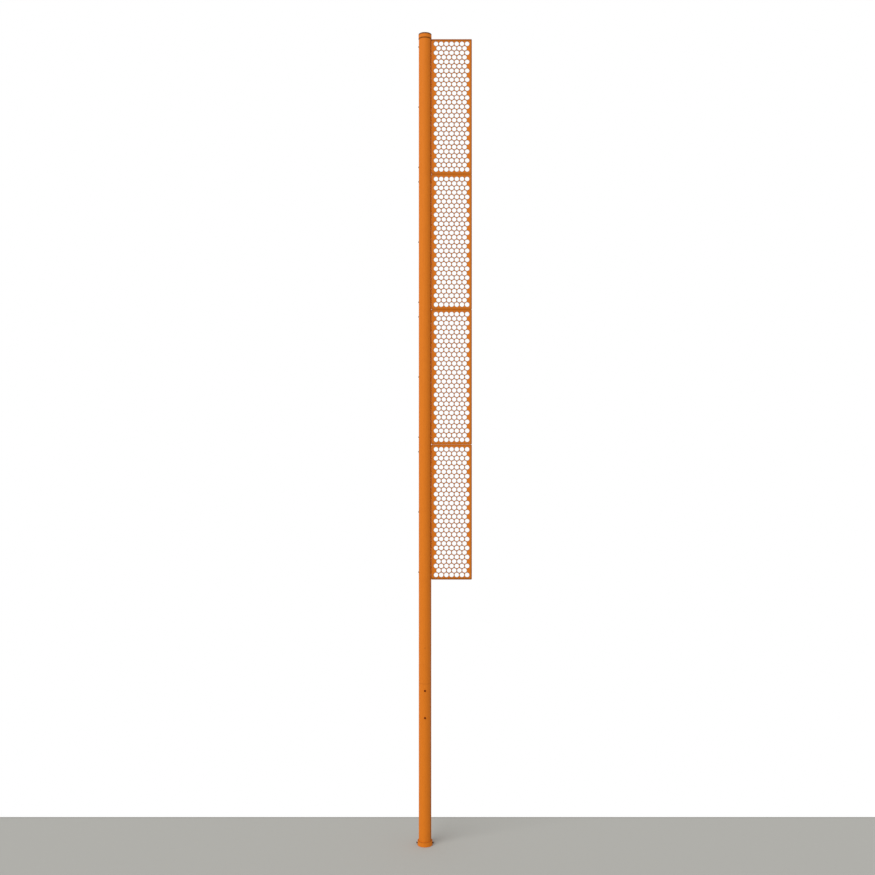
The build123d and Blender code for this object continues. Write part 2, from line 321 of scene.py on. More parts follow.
class Finish(NodeSheet):
    """A material: fixed values sit on the shader's own sockets, varying ones come through nodes."""

    def __init__(self, name, **fixed):
        self.material = bpy.data.materials.new(name)
        self.material.use_nodes = True
        super().__init__(self.material.node_tree)
        self.shader = self.tree.nodes["Principled BSDF"]
        for socket, value in fixed.items():
            self.shader.inputs[socket.replace("_", " ")].default_value = value
        self.place = self.node("ShaderNodeTexCoord", output="Object")
        self.x = self.node("ShaderNodeSeparateXYZ", None, {0: self.place}, output="X")
        self.y = self.x.sibling("Y")
        self.z = self.x.sibling("Z")

    def feed(self, socket, signal):
        """Links a signal to one of the shader's sockets."""
        self.tree.links.new(signal.socket, self.shader.inputs[socket])

    def colour(self, signal):
        self.feed("Base Color", signal)

    def noise(self, scale, stretch=(1, 1, 1), detail=3.0):
        """Soft noise, its cells a scale to the metre, drawn out along an axis stretched under 1."""
        place = self.node("ShaderNodeMapping", None, {"Vector": self.place, "Scale": stretch})
        sockets = {"Vector": place, "Scale": scale, "Detail": detail}
        return self.node("ShaderNodeTexNoise", None, sockets)

    def crawl(self, width, scale, stretch=(1, 1, 1), detail=3.0):
        """A wandering distance, up to half a width either way, that makes an edge ragged."""
        return width * (self.noise(scale, stretch, detail) - 0.5)

    def spots(self, scale):
        """Distance to the nearest of many scattered spots, as a share of their spacing."""
        sockets = {"Vector": self.place, "Scale": scale}
        return self.node("ShaderNodeTexVoronoi", None, sockets, output="Distance")

    def flakes(self, scale):
        """A random value from 0 to 1 for each of many flakes that meet at straight edges."""
        shades = self.spots(scale).sibling("Color")
        return self.node("ShaderNodeSeparateColor", None, {"Color": shades}, output="Red")

    def tint(self, share, first, second):
        """The first colour, turned into the second by a share."""
        sockets = {0: share, 6: first, 7: second}
        return self.node("ShaderNodeMix", {"data_type": "RGBA"}, sockets, output=2)

    def relief(self, *layers):
        """Bumps laid on one another; each layer is a height signal and its depth in metres."""
        normal = None
        for height, depth in layers:
            sockets = {"Height": height, "Strength": 1.0, "Distance": depth}
            if normal:
                sockets["Normal"] = normal
            normal = self.node("ShaderNodeBump", None, sockets)
        self.feed("Normal", normal)


def length_of(first, second):
    """The length of a line from its two components."""
    return (first * first + second * second).maths("SQRT")


# ---------------------------------------------------------------- orange powder coat
ORANGE = (0.725, 0.194, 0.011, 1)
FADED_ORANGE = (0.745, 0.207, 0.013, 1)
DEEP_ORANGE = (0.67, 0.170, 0.009, 1)
SHADED_ORANGE = (0.60, 0.145, 0.008, 1)
# Dark brown for soiling, and for the painted shade on the pole and the cap.
GRIME_AND_SHADE = (0.06, 0.020, 0.004, 1)
THIN_COAT = (0.16, 0.07, 0.002, 1)
COAT_SHEEN = 0.15
COAT_ROUGHNESS = 0.54
PEEL_DEPTH = 0.05 * MM
WAVE_DEPTH = 0.12 * MM

# Soiling and painted shade on the pole, the cap and the collar: painted shade in a stripe along the
# pole's right side and round the cap's skirt, painted shadow under the cap. A pair holds the
# distances from a line, a centre or an edge at which the darkening starts and at which it is full.
# Painted shade: a dark stripe along the pole's right side, at this bearing from the front, that
# darkens its right edge as shade would.
SHADE_STRIPE_BEARING = radians(63)
SHADE_STRIPE_BLEED = (7.5 * MM, 1.5 * MM)
SHADE_STRIPE_CORE = (1.6 * MM, 0.6 * MM)
JOINT_REACH = 9 * MM
# Painted shadow on the pole just under the cap's skirt.
UNDER_CAP_SHADOW_REACH = 12 * MM
SPLASH_HEIGHT = 0.22
BELOW_WING_REACH = 30 * MM
BOLT_RING = (15 * MM, 8 * MM)
BOLT_RUN = (76 * MM, 10 * MM)
BOLT_RUN_WIDTH = 7 * MM
BOLT_RUN_START = 6 * MM
# Painted shade round the bottom edge of the cap's skirt.
SKIRT_SHADE_REACH = 11 * MM
SHOULDER_DROP = (24 * MM, 14 * MM)
SHOULDER_WIDTH = (9 * MM, 2 * MM)
COLLAR_GAP = (9 * MM, 2 * MM)
COLLAR_RIM_REACH = 7 * MM
SCUFF = (22 * MM, 9 * MM)
PLUG_EDGE = (3.5 * MM, 1 * MM)

# The same for the trays, short of their edges, behind their bends or past the holes' rims.
FREE_MARGIN = (22 * MM, 10 * MM)
END_MARGIN = (30 * MM, 14 * MM)
BEND_LINE = (8 * MM, 3 * MM)
FACE_DEPTH = (4 * MM, 1 * MM)
HOLE_RIM = (4.6 * MM, 2.2 * MM)


def orange_coat(name, grime_and_shade, thin_coat=None):
    """Satin powder coat with orange peel: sun-faded, rain-streaked, specked, dark where soiled and
    in painted shade.
    """
    coat = Finish(name, Specular_IOR_Level=COAT_SHEEN)
    fade = coat.noise(1.1, stretch=(1, 1, 0.3)).ramp(0.35, 0.7)
    streaks = coat.noise(70.0, stretch=(1, 1, 0.02), detail=4.0)
    film = coat.noise(38.0, stretch=(1, 1, 0.4), detail=6.0).ramp(0.4, 0.75)
    speckle = coat.noise(420.0, detail=2.0)
    specks = coat.spots(120.0).ramp(0.17, 0.09) * coat.noise(45.0).ramp(0.5, 0.6)
    # This mask carries both soiling and painted shade; both darken the coat towards one dark brown.
    dirt_and_shade = grime_and_shade(coat).either(0.4 * specks)
    shade = (0.25 * film).either(0.3 * speckle.ramp(0.5, 0.7))
    colour = coat.tint(0.35 * fade, ORANGE, FADED_ORANGE)
    colour = coat.tint(0.4 * streaks.ramp(0.45, 0.75), colour, DEEP_ORANGE)
    colour = coat.tint(shade, colour, SHADED_ORANGE)
    if thin_coat:
        colour = coat.tint(thin_coat(coat), colour, THIN_COAT)
    coat.colour(coat.tint(dirt_and_shade, colour, GRIME_AND_SHADE))
    coat.feed("Roughness", COAT_ROUGHNESS + 0.10 * streaks + 0.06 * speckle + 0.25 * dirt_and_shade)
    peel = coat.noise(650.0, detail=1.0)
    waves = coat.noise(90.0, detail=2.0)
    coat.relief((peel, PEEL_DEPTH), (waves, WAVE_DEPTH))
    return coat.material


def band_at_height(coat, height, reach):
    """1 at a height, fading to 0 at a reach above and below it."""
    return abs(coat.z - height).ramp(reach, 0)


def pole_grime_and_shade(coat):
    """Painted shade in a stripe along the pole's right side and painted shadow under the cap;
    soiling in the section joint, at the wing's bolts and near the ground."""
    ragged = coat.noise(30.0, stretch=(1, 1, 0.1)).ramp(0.3, 0.7)
    # Painted shade in a stripe at a bearing right of the front: a soft spread and a darker core,
    # weaker beside the wing.
    bearing = coat.x.maths("ARCTAN2", -1 * coat.y)
    from_shade_stripe = abs(bearing - SHADE_STRIPE_BEARING) * POLE_RADIUS
    crawl = coat.crawl(7 * MM, 110.0, stretch=(1, 1, 0.3), detail=5.0)
    stripe_bleed = (from_shade_stripe + crawl).ramp(*SHADE_STRIPE_BLEED) * (0.72 + 0.2 * ragged)
    stripe_core = 0.9 * from_shade_stripe.ramp(*SHADE_STRIPE_CORE)
    beside_wing = coat.z.nearing(TRAY_BOTTOM, BELOW_WING_REACH, 0)
    shade_stripe = stripe_bleed.either(stripe_core) * (1 - 0.45 * beside_wing)
    joint = 0.14 * band_at_height(coat, JOINT_HEIGHT, JOINT_REACH)
    # Painted shadow on the pole under the cap.
    under_cap_shadow = 0.6 * band_at_height(coat, CAP_BOTTOM, UNDER_CAP_SHADOW_REACH)
    splash = 0.08 * (coat.z.ramp(SPLASH_HEIGHT, 0) * ragged)
    bolts = beside_wing * bolt_grime(coat)
    return shade_stripe.either(joint).either(under_cap_shadow).either(splash).either(bolts)


def bolt_grime(coat):
    """Rings round the heads of the wing's bolts, and the faint runs that rain draws below them."""
    low, middle, _ = bolt_heights(1)
    above_bolt = from_nearest(above_tray_centre(coat), middle - low, 0, -1, 1)
    crawl = coat.crawl(7 * MM, 230.0, detail=5.0)
    ring = (length_of(coat.y, above_bolt) + crawl).ramp(*BOLT_RING)
    wander = coat.crawl(9 * MM, 38.0, stretch=(1, 1, 0.5))
    below = above_bolt.nearing(0, *BOLT_RUN) * above_bolt.ramp(0, -BOLT_RUN_START)
    patchy = 0.3 + 0.7 * coat.noise(90.0, stretch=(1, 1, 0.2))
    run = below * abs(coat.y + wander).ramp(BOLT_RUN_WIDTH, 0) * patchy
    head_side = coat.x.ramp(0, -POLE_RADIUS / 2)
    return head_side * (0.65 * ring).either(0.5 * run)


def cap_grime_and_shade(coat):
    """Painted shade along the skirt's bottom edge; soiling round the shoulder and in patches where
    rain stood on top.
    """
    # Painted shade round the skirt's bottom edge.
    skirt = 0.85 * band_at_height(coat, CAP_BOTTOM, SKIRT_SHADE_REACH)
    crawl = coat.crawl(9 * MM, 75.0, detail=6.0)
    high = (coat.z + crawl).nearing(CAP_TOP, *SHOULDER_DROP)
    from_axis = length_of(coat.x, coat.y)
    shoulder = 0.85 * (high * (from_axis + crawl).nearing(CAP_RADIUS, *SHOULDER_WIDTH))
    patches = 0.3 * (high * coat.noise(55.0, detail=5.0).ramp(0.4, 0.75))
    return skirt.either(shoulder).either(patches)


def collar_grime(coat):
    """In the open joint on top, round the collar's rim, and on the scuffs round the set bolts."""
    from_axis = length_of(coat.x, coat.y)
    gap_start, gap_full = COLLAR_GAP
    inside = 0.45 * from_axis.ramp(POLE_RADIUS + gap_start, POLE_RADIUS + gap_full)
    rim = 0.35 * band_at_height(coat, COLLAR_TOP, COLLAR_RIM_REACH)
    from_bolt = length_of(coat.y, coat.z - SET_BOLT_HEIGHT)
    patchy = 0.5 + 0.5 * coat.noise(160.0).ramp(0.3, 0.65)
    scuff = 0.9 * (from_bolt.ramp(*SCUFF) * patchy)
    return inside.either(rim).either(scuff)


def weld_grime(coat):
    """Dirt that collects between the ripples."""
    return 0.22 * coat.noise(260.0).ramp(0.4, 0.7)


def plug_grime(coat):
    """Round the dressed weld's edge, where the coat lies thin, and a little all over."""
    from_centre = length_of(coat.x, coat.z - PLUG_HEIGHT)
    edge = 0.30 * from_centre.nearing(PLUG_RADIUS, *PLUG_EDGE)
    return edge.either(0.12 + 0.15 * coat.noise(260.0).ramp(0.4, 0.7))


def from_nearest(place, pitch, shift, lowest, highest):
    """Distance along one axis from the nearest of a count of evenly spaced spots."""
    count = (place / pitch - shift).maths("ROUND")
    count = count.maths("MAXIMUM", lowest).maths("MINIMUM", highest)
    return place - (count + shift) * pitch


def above_tray_centre(coat):
    """Height above the middle of the tray that a place belongs to."""
    up = coat.z - TRAY_CENTRE
    return up - (up / TRAY_RISE).maths("ROUND") * TRAY_RISE


def from_hole_centre(coat):
    """Distance to the centre of the nearest punched hole in any of the trays."""
    across = coat.x - TRAY_MIDDLE
    up = above_tray_centre(coat)
    half_row = WIDE_ROW // 2
    half_rows = ROWS // 4
    wide = length_of(
        from_nearest(across, HOLE_PITCH, 0, -half_row, half_row),
        from_nearest(up, 2 * ROW_PITCH, 0, -half_rows, half_rows),
    )
    narrow = length_of(
        from_nearest(across, HOLE_PITCH, 0.5, -half_row, half_row - 1),
        from_nearest(up, 2 * ROW_PITCH, 0.5, -half_rows, half_rows - 1),
    )
    return wide.maths("MINIMUM", narrow)


def sheared_rims(coat):
    """Round every punched hole, where the coat pulls thin and brown on the sheared rim."""
    crawl = coat.crawl(3 * MM, 150.0, detail=4.0)
    start, full = HOLE_RIM
    rim = (from_hole_centre(coat) + crawl).ramp(HOLE_RADIUS + start, HOLE_RADIUS + full)
    return rim * (0.80 + 0.3 * coat.noise(300.0))


def tray_darkening(coat):
    """Darker on the face's plain margins and in the bends along the wing's outline, not on the
    flanges.
    """
    face_start, face_full = FACE_DEPTH
    face = coat.y.ramp(TRAY_FRONT + BEND + face_start, TRAY_FRONT + BEND + face_full)
    free_edge = 0.42 * coat.x.nearing(TRAY_RIGHT, *FREE_MARGIN)
    # Darker along the bends at the wing's free edge, and at its top and bottom.
    free_bend = 0.7 * coat.x.nearing(TRAY_RIGHT, *BEND_LINE)
    half_tray = (TRAY_TOP - TRAY_BOTTOM) / 2
    tray_end = 0.24 * abs(above_tray_centre(coat)).nearing(half_tray, *END_MARGIN)
    half_wing = (WING_TOP - TRAY_BOTTOM) / 2
    from_middle = abs(coat.z - (TRAY_BOTTOM + WING_TOP) / 2)
    wing_margin = 0.50 * from_middle.nearing(half_wing, *END_MARGIN)
    wing_bend = 0.7 * from_middle.nearing(half_wing, *BEND_LINE)
    margins = free_edge.either(tray_end).either(wing_margin)
    return face * margins.either(free_bend.either(wing_bend))


# ---------------------------------------------------------------- metal finishes
ZINC_DARK = (0.38, 0.40, 0.42, 1)
ZINC_LIGHT = (0.62, 0.64, 0.66, 1)
ZINC_BLOOM = (0.70, 0.71, 0.71, 1)
PLATE_DULL = (0.50, 0.50, 0.47, 1)
PLATE_BRIGHT = (0.66, 0.66, 0.63, 1)
OXIDE_BLACK = (0.007, 0.006, 0.005, 1)
OXIDE_WORN = (0.018, 0.014, 0.011, 1)
BROWN = (0.12, 0.012, 0.0, 1)
BROWN_WORN = (0.17, 0.02, 0.001, 1)
DARK_BROWN = (0.025, 0.006, 0.001, 1)
DARK_BROWN_WORN = (0.05, 0.012, 0.001, 1)


def galvanised():
    """Hot-dip zinc: flakes of spangle in several greys, with chalky bloom."""
    zinc = Finish("galvanised_zinc", Metallic=0.85, Specular_IOR_Level=0.5)
    spangle = 0.65 * zinc.flakes(85.0) + 0.35 * zinc.flakes(210.0)
    bloom = zinc.noise(14.0, detail=5.0).ramp(0.45, 0.75)
    colour = zinc.tint(spangle, ZINC_DARK, ZINC_LIGHT)
    zinc.colour(zinc.tint(0.5 * bloom, colour, ZINC_BLOOM))
    zinc.feed("Roughness", 0.36 + 0.2 * spangle + 0.2 * bloom)
    zinc.relief((zinc.noise(120.0), 0.1 * MM), (zinc.noise(400.0), 0.03 * MM))
    return zinc.material


def turned_steel(name, dark, light, roughness, metallic=0.0, gloss=0.08):
    """A machined metal finish: fine turning marks, small stains, two shades of one colour."""
    steel = Finish(name, Metallic=metallic, Specular_IOR_Level=gloss)
    marks = steel.noise(1500.0, stretch=(0.15, 0.15, 1), detail=2.0)
    stain = steel.noise(120.0, detail=4.0).ramp(0.4, 0.7)
    steel.colour(steel.tint(stain, dark, light))
    steel.feed("Roughness", roughness + 0.12 * marks + 0.1 * stain)
    steel.relief((marks, 0.02 * MM))
    return steel.material


# ---------------------------------------------------------------- modelling tools
def only(piece):
    """Selects one piece and makes it the active one."""
    bpy.ops.object.select_all(action="DESELECT")
    piece.select_set(True)
    bpy.context.view_layer.objects.active = piece


def settle(piece):
    """Puts a piece's place, turn and scale into its mesh."""
    only(piece)
    bpy.ops.object.transform_apply(location=True, rotation=True, scale=True)


def primitive(name, add, **sizes):
    """A fresh primitive at its place, with nothing else selected."""
    bpy.ops.object.select_all(action="DESELECT")
    add(**sizes)
    piece = bpy.context.object
    piece.name = name
    piece.data.name = name
    settle(piece)
    return piece


@contextmanager
def shaping(piece):
    """Edit mode on one piece, with all of it selected."""
    only(piece)
    bpy.ops.object.mode_set(mode="EDIT")
    bpy.ops.mesh.select_all(action="SELECT")
    yield
    bpy.ops.object.mode_set(mode="OBJECT")


def pick(piece, kind, wanted):
    """In edit mode, selects just the parts of one kind that are wanted."""
    bpy.ops.mesh.select_mode(type=kind)
    bpy.ops.mesh.select_all(action="DESELECT")
    mesh = bmesh.from_edit_mesh(piece.data)
    parts = {"FACE": mesh.faces, "EDGE": mesh.edges, "VERT": mesh.verts}[kind]
    for part in parts:
        if wanted(part):
            part.select_set(True)
    mesh.select_flush_mode()
    bmesh.update_edit_mesh(piece.data)


def trim(height, keep_above):
    """In edit mode, cuts all of a piece off at a height and closes it there."""
    bpy.ops.mesh.select_all(action="SELECT")
    away = (0, 0, -1 if keep_above else 1)
    bpy.ops.mesh.bisect(plane_co=(0, 0, height), plane_no=away, clear_outer=True, use_fill=True)


def modify(piece, kind, **settings):
    """Adds a modifier and applies it."""
    only(piece)
    step = piece.modifiers.new(kind, kind)
    for name, value in settings.items():
        setattr(step, name, value)
    bpy.ops.object.modifier_apply(modifier=step.name)


def combine(piece, tool, operation):
    """Cuts, joins or trims a piece with a tool piece, which is used up."""
    modify(piece, "BOOLEAN", operation=operation, solver="EXACT", object=tool)
    bpy.data.objects.remove(tool)


def join(pieces):
    """Makes several pieces into one, the first, which takes the others in one after another."""
    only(pieces[0])
    for piece in pieces[1:]:
        piece.select_set(True)
        bpy.ops.object.join()
    return pieces[0]


def copy_at(piece, name, shift):
    """A copy with its own mesh, moved by a shift that goes into the mesh."""
    twin = piece.copy()
    twin.data = piece.data.copy()
    twin.name = name
    twin.data.name = name
    bpy.context.scene.collection.objects.link(twin)
    twin.location = shift
    settle(twin)
    return twin


def fit(piece, finish, body, slot, *nodes, crease=35):
    """Gives a made piece its finish and body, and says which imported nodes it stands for."""
    piece.data.materials.clear()
    piece.data.materials.append(finish)
    only(piece)
    bpy.ops.object.shade_smooth_by_angle(angle=radians(crease))
    modify(piece, "WEIGHTED_NORMAL", keep_sharp=True)
    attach(piece, body)
    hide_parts(*nodes)


def dress(node, finish):
    """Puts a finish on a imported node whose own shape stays."""
    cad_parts[node].material_slots[0].material = finish


TURNS = {X: (0, pi / 2, 0), Y: (-pi / 2, 0, 0), Z: (0, 0, pi / 2)}


def rod(name, radius, length, middle, axis=Z, sides=SMALL_ROUND):
    """A cylinder along an axis, used as a blank or as a cutter, with a corner on X if along Z."""
    return primitive(
        name,
        bpy.ops.mesh.primitive_cylinder_add,
        vertices=sides,
        radius=radius,
        depth=length,
        location=middle,
        rotation=TURNS[axis],
    )


def upright_rod(name, radius, bottom, top, sides=SMALL_ROUND):
    """A cylinder round the Z axis between two heights."""
    return rod(name, radius, top - bottom, (0, 0, (bottom + top) / 2), sides=sides)


def is_end_face(face):
    """Whether a face looks straight up or down."""
    return abs(face.normal.z) > LEVEL


def on_rim(height, radius):
    """A test for the edges of the circle of a radius round the Z axis at a height."""

    def on_circle(vertex):
        from_axis = hypot(vertex.co.x, vertex.co.y)
        return abs(vertex.co.z - height) < SAME_PLACE and abs(from_axis - radius) < SAME_LENGTH

    return lambda edge: all(on_circle(vertex) for vertex in edge.verts)


# ---------------------------------------------------------------- tubes
def tube(name, radius, wall, bottom, top, chamfer=0.0, cuts=()):
    """A pipe: a cylinder's ends are inset and bridged through, it is cut across at heights, and
    its ends are chamfered."""
    pipe = upright_rod(name, radius, bottom, top, ROUND)
    with shaping(pipe):
        pick(pipe, "FACE", is_end_face)
        bpy.ops.mesh.inset(thickness=wall)
        bpy.ops.mesh.bridge_edge_loops()
        for height in cuts:
            bpy.ops.mesh.select_all(action="SELECT")
            bpy.ops.mesh.bisect(plane_co=(0, 0, height), plane_no=(0, 0, 1))
        if chamfer:
            for height in (bottom, top):
                pick(pipe, "EDGE", on_rim(height, radius))
                bpy.ops.mesh.bevel(offset=chamfer, segments=2, affect="EDGES")
    return pipe


def drill(piece, radius, spots, axis, reach=THROUGH_POLE):
    """Drills round holes along an axis, half of the reach each way from each spot."""
    drills = [rod("drill", radius, reach, spot, axis) for spot in spots]
    combine(piece, join(drills), "DIFFERENCE")


def beside(heights, margin):
    """Cut heights just below and above each of some heights, so that drillings stay local."""
    return [height + side * margin for height in heights for side in (-1, 1)]


# ---------------------------------------------------------------- fasteners
def threaded_rod(name, radius, pitch, bottom, top):
    """A rod along Z with a real helical thread: one ridge's outline, three corners of a square,
    is screwed up past both ends and cut off flat there."""
    depth = THREAD_DEPTH_SHARE * pitch
    start = bottom - THREAD_RUN_UP * pitch
    turns = int((top - start) / pitch) + 2
    thread = primitive(
        name, bpy.ops.mesh.primitive_circle_add, vertices=4, radius=1, rotation=(pi / 2, 0, 0)
    )
    with shaping(thread):
        pick(thread, "VERT", lambda v: v.co.x < -0.5)
        bpy.ops.mesh.delete(type="VERT")
    thread.scale = (depth, 1, pitch / 2)
    thread.location = (radius - depth, 0, start + pitch / 2)
    settle(thread)
    modify(
        thread,
        "SCREW",
        angle=2 * pi,
        screw_offset=pitch,
        iterations=turns,
        steps=THREAD_ROUND,
        render_steps=THREAD_ROUND,
        axis="Z",
        use_merge_vertices=True,
        merge_threshold=THREAD_SEAM,
    )
    with shaping(thread):
        bpy.ops.mesh.remove_doubles(threshold=2 * THREAD_SEAM)
        trim(bottom, keep_above=True)
        trim(top, keep_above=False)
        bpy.ops.mesh.select_all(action="SELECT")
        bpy.ops.mesh.normals_make_consistent(inside=False)
    return thread


def button_screw(name, radius, head_radius, head_height, socket, length, pitch):
    """A socket screw along Z with its underside at the origin and its tip towards +Z."""
    head = upright_rod(name, head_radius, -head_height, 0)
    thread_start = length - SCREW_THREADS * pitch
    plain_length = thread_start + THREAD_LAP
    with shaping(head):
        pick(head, "EDGE", on_rim(-head_height, head_radius))
        rounding = HEAD_ROUND_SHARE * head_height
        bpy.ops.mesh.bevel(offset=rounding, segments=7, affect="EDGES", profile=0.5)
        pick(head, "FACE", lambda face: face.normal.z > LEVEL)
        bpy.ops.mesh.inset(thickness=head_radius - radius)
        bpy.ops.mesh.extrude_region_move(TRANSFORM_OT_translate={"value": (0, 0, plain_length)})
    depth = SOCKET_DEPTH_SHARE * head_height
    corner = socket / sqrt(3)
    low, high = -head_height - depth, depth - head_height
    key_hole = upright_rod("key_hole", corner, low, high, HEXAGON_SIDES)
    combine(head, key_hole, "DIFFERENCE")
    thread = threaded_rod(f"{name}_thread", radius, pitch, thread_start, length)
    return join([head, thread])


def hexagon_blank(name, width, height):
    """A hexagonal prism standing on the origin, its corners turned off at the top."""
    corner = width / sqrt(3)
    stand_out = corner - width / 2
    bevel = HEXAGON_FACET_SHARE * stand_out
    drop = HEXAGON_DROP_SHARE * stand_out
    blank = upright_rod(name, corner, 0, height, HEXAGON_SIDES)
    lathe = upright_rod("lathe", corner, 0, height, LATHE_ROUND)
    with shaping(lathe):
        pick(lathe, "EDGE", on_rim(height, corner))
        bpy.ops.mesh.bevel(offset=bevel, segments=1, affect="EDGES")
        pick(lathe, "VERT", lambda v: SAME_PLACE < v.co.z < height - SAME_PLACE)
        bpy.ops.transform.translate(value=(0, 0, bevel - drop))
    combine(blank, lathe, "INTERSECT")
    return blank


def lock_nut(name, bolt_radius, width, height):
    """A hexagon nut with a round locking collar on its far end, standing on the origin."""
    hexagon_height = NUT_HEXAGON_SHARE * height
    nut = hexagon_blank(name, width, hexagon_height)
    collar_radius = NUT_COLLAR_SHARE * width / 2
    collar = upright_rod("collar", collar_radius, hexagon_height / 2, height)
    with shaping(collar):
        pick(collar, "EDGE", on_rim(height, collar_radius))
        bpy.ops.mesh.bevel(offset=NUT_EDGE, segments=4, affect="EDGES")
    combine(nut, collar, "UNION")
    combine(nut, upright_rod("bore", bolt_radius + SEAT_GAP, -height, 2 * height), "DIFFERENCE")
    return nut


def flat_washer(name, bore, radius, thickness):
    """A washer standing on the origin, its edges rolled."""
    washer = upright_rod(name, radius, 0, thickness)
    with shaping(washer):
        pick(washer, "FACE", is_end_face)
        bpy.ops.mesh.inset(thickness=radius - bore)
        bpy.ops.mesh.bridge_edge_loops()
        pick(washer, "EDGE", lambda edge: edge.calc_face_angle(0) > SHARP)
        bpy.ops.mesh.bevel(offset=WASHER_EDGE, segments=2, affect="EDGES")
    return washer


def hexagon_bolt(name, radius, head_width, head_height, length, pitch):
    """A bolt along Z, threaded to its head: underside at the origin, tip towards +Z."""
    head = hexagon_blank(name, head_width, head_height)
    head.rotation_euler = (pi, 0, 0)
    settle(head)
    shank = threaded_rod(f"{name}_thread", radius, pitch, -HEAD_LAP, length)
    return join([head, shank])


def turn_to(piece, axis, way=1):
    """Turns a piece made along +Z to point along an axis, forwards or backwards."""
    piece.rotation_euler = [way * angle for angle in TURNS[axis]]
    settle(piece)
    return piece


def fastener_set(kind, nodes, axis, diameter, hole, socket, pitch):
    """A screw, a washer and a lock nut along an axis, each with the place of its seat there."""
    bolts, washers, nuts = nodes
    across = Y if axis == X else X
    seat = -POLE_RADIUS - SEAT_GAP
    crown, tip = span(bolts, axis)
    washer_seat, washer_top = span(washers, axis)
    nut_seat, nut_top = span(nuts, axis)
    head_radius = span(bolts, across)[1]
    washer_radius = span(washers, across)[1]
    screw = button_screw(
        f"{kind}_screw", diameter / 2, head_radius, seat - crown, socket, tip - seat, pitch
    )
    washer = flat_washer(f"{kind}_washer", hole, washer_radius, washer_top - washer_seat)
    nut = lock_nut(f"{kind}_nut", diameter / 2, NUT_WIDTH_SHARE * diameter, nut_top - nut_seat)
    return [
        (turn_to(screw, axis), seat),
        (turn_to(washer, axis), washer_seat),
        (turn_to(nut, axis), nut_seat),
    ]


def place_fasteners(made, tag, nodes, axis, height, finishes):
    """Copies a screw, a washer and a nut to a height on the pole."""
    slots = ("brown_bolt", "zinc_plate", "zinc_plate")
    for (piece, seat), node, finish, slot in zip(made, nodes, finishes, slots):
        place = [0, 0, height]
        place[axis] = seat
        fit(copy_at(piece, f"{piece.name}_{tag}", place), finish, "pole", slot, node)


def put_away(made):
    """Deletes the pieces that only served to be copied."""
    for piece, _ in made:
        bpy.data.objects.remove(piece)


# ---------------------------------------------------------------- wing tray
def hole_cell():
    """One hexagon of sheet round one punched hole."""
    corner = HOLE_PITCH / sqrt(3)
    outer = primitive(
        "cell", bpy.ops.mesh.primitive_circle_add, vertices=HEXAGON_SIDES, radius=corner
    )
    inner = primitive(
        "cell_hole", bpy.ops.mesh.primitive_circle_add, vertices=HOLE_ROUND, radius=HOLE_RADIUS
    )
    cell = join([outer, inner])
    with shaping(cell):
        bpy.ops.mesh.bridge_edge_loops()
        bpy.ops.mesh.select_all(action="SELECT")
        bpy.ops.mesh.normals_make_consistent(inside=False)
    return cell


def rows_of_cells(cell, name, columns, rows):
    """The cell repeated in every second row, centred on the origin in local XY."""
    step = 2 * ROW_PITCH
    corner = (-(columns - 1) / 2 * HOLE_PITCH, -(rows - 1) / 2 * step, 0)
    field = copy_at(cell, name, corner)
    for count, offset in ((columns, (HOLE_PITCH, 0, 0)), (rows, (0, step, 0))):
        modify(
            field,
            "ARRAY",
            count=count,
            use_relative_offset=False,
            use_constant_offset=True,
            constant_offset_displace=offset,
        )
    return field


def perforated_sheet(name):
    """Rows of seven and of six holes in turn, in local XY about the origin."""
    cell = hole_cell()
    wide = rows_of_cells(cell, name, WIDE_ROW, ROWS // 2 + 1)
    narrow = rows_of_cells(cell, "narrow", WIDE_ROW - 1, ROWS // 2)
    bpy.data.objects.remove(cell)
    sheet = join([wide, narrow])
    with shaping(sheet):
        bpy.ops.mesh.remove_doubles(threshold=SAME_PLACE)
    return sheet


def is_sheet_border(edge):
    """Whether an edge is open and no part of a hole's rim, whose edges are all of one length."""
    rim_edge = 2 * HOLE_RADIUS * sin(pi / HOLE_ROUND)
    return len(edge.link_faces) < 2 and abs(edge.calc_length() - rim_edge) > SAME_LENGTH


def wing_tray(name):
    """A perforated tray: holes, plain margins, four bent flanges, then the sheet's thickness."""
    flat_width = TRAY_RIGHT - TRAY_LEFT - 2 * BEND
    flat_height = TRAY_TOP - TRAY_BOTTOM - 2 * BEND
    border = primitive("border", bpy.ops.mesh.primitive_plane_add, size=1)
    border.scale = (flat_width, flat_height, 1)
    settle(border)
    with shaping(border):
        bpy.ops.mesh.delete(type="ONLY_FACE")
    tray = join([perforated_sheet(name), border])
    with shaping(tray):
        pick(tray, "EDGE", is_sheet_border)
        bpy.ops.mesh.fill(use_beauty=True)
    bend_flange(tray, X, flat_width / 2)
    bend_flange(tray, X, -flat_width / 2)
    bend_flange(tray, Y, flat_height / 2)
    bend_flange(tray, Y, -flat_height / 2)
    with shaping(tray):
        bpy.ops.mesh.normals_make_consistent(inside=False)
    if sum(face.normal.z * face.area for face in tray.data.polygons) < 0:
        with shaping(tray):
            bpy.ops.mesh.flip_normals()
    modify(tray, "SOLIDIFY", thickness=SHEET, offset=-1, use_even_offset=True)
    tray.rotation_euler = (pi / 2, 0, 0)
    tray.location = (TRAY_MIDDLE, TRAY_FRONT, TRAY_CENTRE)
    settle(tray)
    spots = [(TRAY_LEFT, 0, height) for height in bolt_heights(1)]
    drill(tray, TRAY_BOLT_HOLE, spots, X, THROUGH_FLANGE)
    return tray


